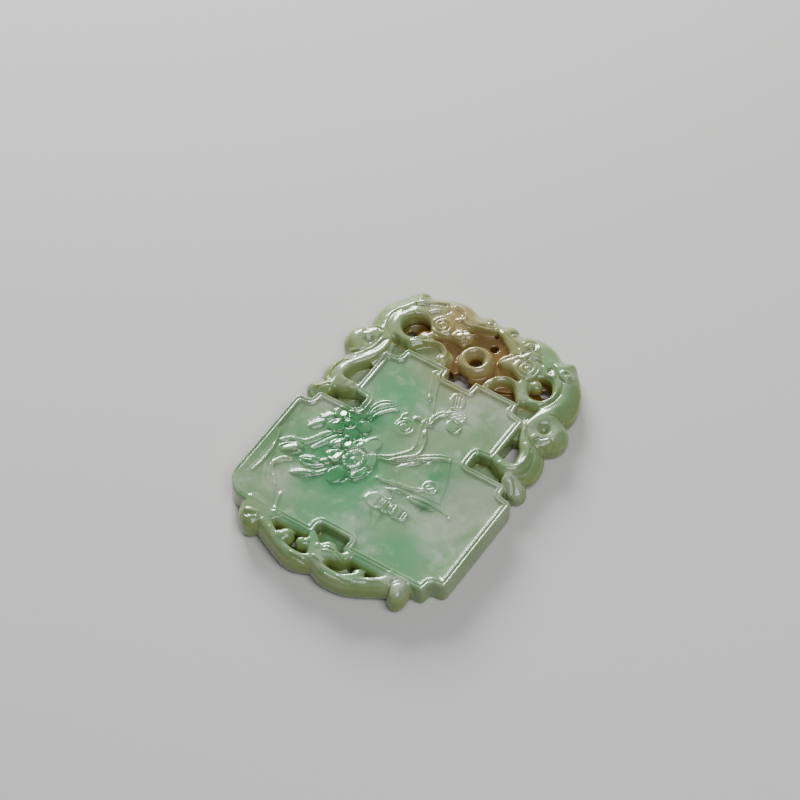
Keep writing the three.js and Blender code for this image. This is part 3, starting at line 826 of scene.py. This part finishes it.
# the great leaf that hangs from the trunk to the right edge of the picture
LEAF = np.array([(0.2, 19.6), (2.2, 21.2), (4.4, 22.9), (6.4, 24.2), (7.8, 24.4), (8.8, 22.6),
                 (9.8, 20.4), (10.6, 18.0), (11.2, 15.6), (8.0, 15.6), (4.0, 15.4), (0.6, 15.2)])
blade = depth_in(LEAF, 3.0)
change += (0.12 * eased(blade / 0.25) - 0.1 * eased((blade - 0.3) / 2.2)) * eased((X - 1.2) / 5.0)
ribbon([(-0.2, 19.2), (1.1, 20.2), (2.2, 21.1), (3.4, 22.1), (4.6, 23.0), (5.8, 23.8), (7.0, 24.3),
        (7.7, 24.3)], 0.5, 0.14, 0.16, 0.15)
facet(2.0, 20.3, 2.3, 0.75, 40, 0.36)
facet(4.9, 22.0, 0.9, 0.5, 60, 0.34)
facet(13.6, 14.4, 0.5, 0.25, -30, 0.3)
ribbon([(-0.4, 15.0), (1.5, 15.2), (3.0, 15.5), (5.0, 15.8), (6.5, 16.4), (7.3, 17.0)], 0.3, 0.12, 0.14)
ribbon([(3.4, 14.9), (6.0, 15.0), (9.0, 15.2), (11.5, 15.2), (13.0, 14.9), (14.0, 14.3)], 0.3, 0.1, 0.08)
change += np.maximum(dome(8.4, 14.5, 2.6, 0.75, 0.3, 4), dome(3.6, 14.5, 1.5, 0.45, 0.2, 20))
stroke([(6.2, 14.4), (8.2, 14.5), (10.4, 14.8)], 0.16, -0.15)
stroke([(2.2, 14.2), (3.2, 14.0), (3.8, 13.2), (4.0, 12.4)], 0.22, 0.24)
change += dome(8.0, 17.9, 1.5, 1.5, 0.18)
stroke(spiral(8.0, 17.9, 0.85, 1.0, 0.0, 1, 0.85), 0.22, -0.22, 0)
stroke([(7.5, 17.4), (8.0, 17.9), (8.5, 18.4)], 0.15, -0.14)
# the long slanting cuts that shape the rock
for line, width, height in (
    ([(-17.9, 5.0), (-17.6, 7.5), (-17.6, 10.5), (-18.1, 13.0), (-18.9, 15.2)], 0.4, 0.2),
    ([(-18.8, 4.6), (-18.6, 8.0), (-18.7, 11.0)], 0.3, -0.08),
    ([(-17.3, 7.8), (-16.2, 5.4), (-14.7, 3.2)], 0.28, -0.1),
    ([(-16.5, 7.9), (-15.3, 5.6), (-13.8, 3.6)], 0.28, -0.1),
    ([(-15.7, 7.4), (-14.4, 5.6), (-12.8, 4.0)], 0.28, -0.1),
    ([(-16.8, 10.2), (-16.4, 8.6), (-15.6, 7.4)], 0.28, -0.1),
    ([(-14.6, 6.6), (-13.8, 5.8), (-13.0, 4.8)], 0.35, 0.14),
    ([(-11.6, 4.4), (-11.2, 2.9), (-10.6, 1.4), (-10.0, 0.2)], 0.45, 0.2),
    ([(-18.6, 2.8), (-17.9, 1.7), (-17.2, 1.0), (-14.0, 0.8), (-11.0, 0.7)], 0.25, 0.07),
):
    stroke(line, width, height)

at[:, 2] += change * up
# Nothing stands above what was sawn: the tallest ridges are polished down.
CARVING_THICK = 4.45
spare_height = CARVING_THICK - OPENWORK_TOP
over = at[:, 2] > OPENWORK_TOP
at[over, 2] = OPENWORK_TOP + spare_height * np.tanh((at[over, 2] - OPENWORK_TOP) / spare_height)
put_coordinates(plaque, at)

# ----------------------------------------
# The finished stone, rubbed flat on its back. How far each point is sunk into the openwork,
# and how much it faces sideways, is kept on the skin for the colour: russet skin in the head
# and painted shade in every hollow from the one, and olive with painted shade from the other.
# ----------------------------------------

# The fine skin is kept where the stone is carved. It is thinned where it is flat, and most
# of all on the plain back, but with no long slivers, which would show in the polish.
TRIANGLES = 196000
LEVELS = 10
before = sum(len(polygon.vertices) - 2 for polygon in plaque.polygons)
work = bpy.data.objects.new("work", plaque)
spare = work.vertex_groups.new(name="spare")
plaque.vertices.foreach_get("normal", normals)
backward = np.clip((-normals.reshape(-1, 3)[:, 2] - 0.75) / 0.2, 0, 1)
for level in range(1, LEVELS + 1):
    these = np.flatnonzero(np.round(1 + (LEVELS - 1) * backward).astype(int) == level)
    spare.add(these.tolist(), level / LEVELS, "REPLACE")
plaque = with_modifiers(work, ("DECIMATE", {"ratio": min(1.0, TRIANGLES / before), "vertex_group": "spare",
                                            "vertex_group_factor": 0.0002}))

co = coordinates(plaque)
co[:, 2] = np.maximum(co[:, 2], 0.0)
facing = np.empty(len(co) * 3)
plaque.vertices.foreach_get("normal", facing)
facing = facing.reshape(-1, 3)[:, 2]


def ramp(values, low, high):
    """0 at low and 1 at high, held there beyond them."""
    return np.clip((values - low) / (high - low), 0, 1)


# the height of the stone round about each point, spread over a few millimetres
SPREAD = 24
tops = np.zeros(CELLS)
np.maximum.at(tops, cells_of(co), co[:, 2])
for _ in range(SPREAD):
    tops = (2 * tops + sum(neighbours(tops))) / 6
at_edge = np.array([edge_tree.find((x, y, 0))[2] for x, y in co[:, :2]])
# How far each point lies below the stone round it, away from the outer edge. It is painted as shade in every
# hollow, and in the head it also carries the russet skin, which fills the low floors there.
hollow = ramp(tops[cells_of(co)] - co[:, 2], 0.12, 1.02) * ramp(at_edge, 1.0, 2.5)
from_ring = np.hypot(co[:, 0] / 12.5, (co[:, 1] - 44.6) / 6.2)
head_zone = ramp(-from_ring, -1.3, -0.95)
russet = np.maximum(hollow * (0.55 + 0.45 * head_zone), head_zone * ramp(-co[:, 2], -3.2, -2.2))

# Olive tone over the openwork, partly its own colour and partly painted shade: it deepens towards the outer
# edge and on the left.
beside = ramp(np.abs(co[:, 0]), 13.2, 13.8) * ramp(co[:, 1], 25.0, 25.6)
off_panel = np.maximum.reduce([beside, ramp(co[:, 1], 40.0, 40.6), ramp(-co[:, 1], -0.2, 0.6)])
outward = off_panel * np.clip(1 - at_edge / 2.6, 0, 1)
# the openwork is painted darker and more olive on the left, where the key light falls, as painted
# shade; the foot is painted less olive
to_left = np.clip(-co[:, 0] / 20.0, -0.6, 1.0)
olive_tone_and_edge_shade = (0.3 + 0.22 * to_left) * off_panel + (0.36 + 0.1 * to_left) * outward
# painted shade: walls that face sideways or down are painted more olive
walls = (0.55 + 0.3 * off_panel) * ramp(-facing, -0.9, -0.3)
olive = np.clip(olive_tone_and_edge_shade * np.where(co[:, 1] < 10, 0.45, 1.0) + walls, 0, 1)
for name, values in (("russet", russet), ("olive", olive)):
    attribute = plaque.attributes.new(name, "FLOAT", "POINT")
    attribute.data.foreach_set("value", values.astype(np.float32))

MM = 1000
FOOT_REACH = 6.19  # from the lowest dragon up to the panel's foot
FOOT_AT = cad_box[0][1] * MM + FOOT_REACH
co[:, 1] += FOOT_AT
put_coordinates(plaque, co / MM)
for polygon in plaque.polygons:
    polygon.use_smooth = True
piece = bpy.data.objects.new("jade_plaque_carving", plaque)
bpy.context.collection.objects.link(piece)
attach(piece, "root")
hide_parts("jade_plaque")


# ----------------------------------------
# Jadeite: pale grey-green and milky, with emerald where the blossom is cut, a russet skin in
# the sunk parts of the head, painted shade in every hollow and on the walls, and an even wax-like polish.
# ----------------------------------------
class Wire:
    """A shader socket that can be added, multiplied and so on."""

    def __init__(self, nodes, links, socket):
        self.nodes, self.links, self.socket = nodes, links, socket

    def node(self, kind, settings=None, out=0, **sockets):
        made = self.nodes.new(kind)
        for key, value in (settings or {}).items():
            if key == "stops":
                stops = made.color_ramp.elements
                while len(stops) < len(value):
                    stops.new(0.5)
                for element, (position, colour) in zip(stops, value):
                    element.position = position
                    element.color = (*colour, 1.0)
            else:
                setattr(made, key, value)
        for key, value in sockets.items():
            target = made.inputs[int(key[1:]) if key[1:].isdigit() else key.replace("_", " ")]
            if isinstance(value, Wire):
                self.links.new(value.socket, target)
            else:
                target.default_value = value
        return Wire(self.nodes, self.links, made.outputs[out] if made.outputs else None)

    def math(self, operation, other=0.0, swap=False):
        a, b = (other, self) if swap else (self, other)
        return self.node("ShaderNodeMath", {"operation": operation}, i0=a, i1=b)

    def __add__(self, other):
        return self.math("ADD", other)

    def __mul__(self, other):
        return self.math("MULTIPLY", other)

    def __sub__(self, other):
        return self.math("SUBTRACT", other)

    def __rsub__(self, other):
        return self.math("SUBTRACT", other, True)

    __radd__ = __add__
    __rmul__ = __mul__

    def held(self):
        return self.node("ShaderNodeClamp", Value=self)


def srgb(r, g, b):
    return tuple(((c / 255 + 0.055) / 1.055) ** 2.4 if c > 10 else c / 255 / 12.92 for c in (r, g, b))


jade = bpy.data.materials.new("jade")
jade.use_nodes = True
jade.node_tree.nodes.clear()
start = jade.node_tree.nodes.new("ShaderNodeTexCoord")
stone = Wire(jade.node_tree.nodes, jade.node_tree.links, start.outputs["Object"])


def noise(scale, detail=3.0, rough=0.5, distortion=0.0):
    return stone.node("ShaderNodeTexNoise", Vector=stone, Scale=scale, Detail=detail,
                      Roughness=rough, Distortion=distortion)


mottle = noise(160) - 0.5


def patches(*rows):
    """1 inside round patches, fading to 0 at their edges: each x, y, radius, softness,
    wobble of the edge, and strength, in the carving's millimetres."""
    total = 0.0
    for x, y, radius, soft, wobble, strength in rows:
        centre = (x / MM, (y + FOOT_AT) / MM, 0.002)
        away = stone.node("ShaderNodeVectorMath", {"operation": "DISTANCE"}, 1, i0=stone, i1=centre)
        inside = (1.0 - (away * (MM / radius) + mottle * wobble)) * (1 / soft)
        total = total + inside.held() * strength
    return total.held()


def tint(base, colour, amount):
    """The base colour turned towards another, which may itself vary."""
    other = colour if isinstance(colour, Wire) else (*colour, 1.0)
    return stone.node("ShaderNodeMix", {"data_type": "RGBA"}, 2, i0=amount, i6=base, i7=other)


def band(wire, low, high):
    """0 below low, 1 above high."""
    return ((wire - low) * (1 / (high - low))).held()


def on_skin(name):
    return stone.node("ShaderNodeAttribute", {"attribute_name": name}, 2)


cloud = noise(60, 5, 0.62, 0.8)
body = stone.node("ShaderNodeValToRGB", {"stops": [
    (0.32, srgb(98, 136, 92)), (0.46, srgb(120, 150, 110)), (0.56, srgb(136, 157, 126)),
    (0.70, srgb(166, 180, 154))]}, Fac=cloud)
green = patches((-1, 7, 13, 0.8, 0.9, 0.9), (12, 5, 9, 0.8, 0.9, 0.8), (8, 19, 7, 0.8, 0.9, 0.8),
                (-7, 31, 8, 0.8, 0.9, 1.1), (-8, 17, 10, 0.8, 0.7, 1.0), (19, 38, 3, 0.9, 0.5, 0.5),
                (9, 51, 5, 0.9, 0.6, 0.5), (-15.5, 49, 4, 0.9, 0.6, 0.6), (7, -5, 7, 0.9, 0.6, 0.7),
                (-4, -2, 4, 0.9, 0.6, 0.5))
body = tint(body, srgb(84, 152, 104), green * 0.85)
vein = band(noise(120, 4, 0.6, 1.5), 0.5, 0.66)
emerald = patches((-9.8, 21.9, 5.6, 0.6, 0.8, 1.0), (-8, 13.5, 6.5, 0.8, 1.2, 1.0),
                  (9.2, 14.5, 2.8, 0.7, 0.3, 1.2), (-11.5, 25.5, 2.6, 0.8, 0.4, 1.0),
                  (8.2, 20.0, 4.2, 0.8, 0.5, 0.6), (-12.5, 9.9, 1.2, 0.8, 0.3, 1.0))
body = tint(body, srgb(2, 108, 52), (emerald * (0.75 + 0.4 * vein)).held())
# pale flecks, fewer in the emerald, and a painted highlight on the field to the right of the great leaf
flecks_and_highlight = band(noise(95, 3, 0.5, 0.4), 0.56, 0.7) * 0.38 + band(noise(260, 4, 0.65, 0.2), 0.54, 0.68) * 0.3
flecks_and_highlight = flecks_and_highlight + patches((12.9, 16.6, 2.2, 0.9, 0.6, 0.7))
body = tint(body, srgb(194, 204, 188), (flecks_and_highlight * (1.0 - 0.7 * emerald)).held())
body = tint(body, srgb(134, 150, 124), patches((15, 20, 8.5, 0.9, 0.6, 0.85)))
# olive tone, partly painted shade on walls, towards the outer edge and on the left
body = tint(body, srgb(122, 134, 64), (on_skin("olive") * (0.65 + 0.3 * noise(140, 2))).held())
# tan over the head, and brown on the bead and the hip's pit
body = tint(body, srgb(146, 130, 82), patches((0, 44.8, 12.5, 0.7, 0.7, 0.8),
                                              (-8.5, 49.5, 8, 0.9, 0.5, 0.75)))
body = tint(body, srgb(132, 110, 44), patches((11.4, 44.4, 2.2, 0.6, 0.2, 0.75),
                                              (17.0, 37.8, 1.3, 0.8, 0.1, 0.8)))
# the hollows: russet skin in the head, with painted shade that darkens it the deeper it is sunk;
# elsewhere dark olive, which is painted shade only
sunk_in = on_skin("russet")
tan_head = patches((0, 44.6, 16.0, 0.3, 0.0, 1.0))
shallow_russet_and_shade = tint((*srgb(104, 118, 52), 1.0), srgb(158, 134, 82), tan_head)
deep_russet_and_shade = tint((*srgb(58, 70, 18), 1.0), srgb(96, 60, 10), tan_head)
body = tint(body, shallow_russet_and_shade, band(sunk_in, 0.0, 0.45) * 0.8)
body = tint(body, deep_russet_and_shade, (band(sunk_in, 0.3, 0.9) * (0.75 + 0.5 * noise(220, 2))).held() * 0.92)

polish = 0.1 + 0.07 * noise(300, 2)
wave = stone.node("ShaderNodeBump", Strength=0.12, Distance=0.0002, Height=noise(420, 2))
shader = stone.node("ShaderNodeBsdfPrincipled", Base_Color=body, Roughness=polish, Normal=wave, IOR=1.6,
                    Subsurface_Weight=0.35, Subsurface_Scale=0.0012, Subsurface_Radius=(0.9, 1.0, 0.5),
                    Coat_Weight=0.25, Coat_Roughness=0.05)
shader.node("ShaderNodeOutputMaterial", Surface=shader)
plaque.materials.clear()
plaque.materials.append(jade)

# ----------------------------------------
# The plain pale floor it lies on, soft studio light, and the camera.
# ----------------------------------------
bm = bmesh.new()
bmesh.ops.create_grid(bm, x_segments=1, y_segments=1, size=1.5)
floor_mesh = finish_mesh(bm, "floor")
floor = bpy.data.objects.new("floor", floor_mesh)
bpy.context.collection.objects.link(floor)
pale = bpy.data.materials.new("pale floor")
pale.use_nodes = True
floor_inputs = pale.node_tree.nodes["Principled BSDF"].inputs
floor_inputs["Base Color"].default_value = (*srgb(196, 196, 194), 1)
floor_inputs["Roughness"].default_value = 0.8
floor_mesh.materials.append(pale)

world = bpy.data.worlds.new("studio")
world.use_nodes = True
sky = world.node_tree.nodes["Background"].inputs
sky["Color"].default_value = (*srgb(200, 203, 208), 1)
sky["Strength"].default_value = 0.31
bpy.context.scene.world = world

MIDDLE = Vector((0.0, 0.0, 0.002))
for name, spot, power, wide, high in (
    ("key", (-0.347, 0.337, 0.175), 5.8, 0.25, 0.165),
    ("fill", (0.22, -0.10, 0.45), 1.9, 0.35, 0.35),
):
    lamp = bpy.data.lights.new(name, "AREA")
    lamp.shape = "RECTANGLE"
    lamp.energy, lamp.size, lamp.size_y = power, wide, high
    stand = bpy.data.objects.new(name, lamp)
    stand.location = spot
    stand.rotation_euler = (MIDDLE - Vector(spot)).to_track_quat("-Z", "Y").to_euler()
    bpy.context.collection.objects.link(stand)

camera = bpy.data.objects.new("camera", bpy.data.cameras.new("camera"))
camera.data.lens = 180
camera.data.sensor_width = 36
camera.data.clip_start = 0.01
aim = Vector((-0.00583, 0.03023 + FOOT_AT / MM, 0.0039))
towards = Vector((0.3397, -0.5217, 0.7826))
DISTANCE = 0.65
camera.location = aim + towards * DISTANCE
camera.rotation_euler = towards.to_track_quat("Z", "Y").to_euler()
bpy.context.collection.objects.link(camera)
bpy.context.scene.camera = camera
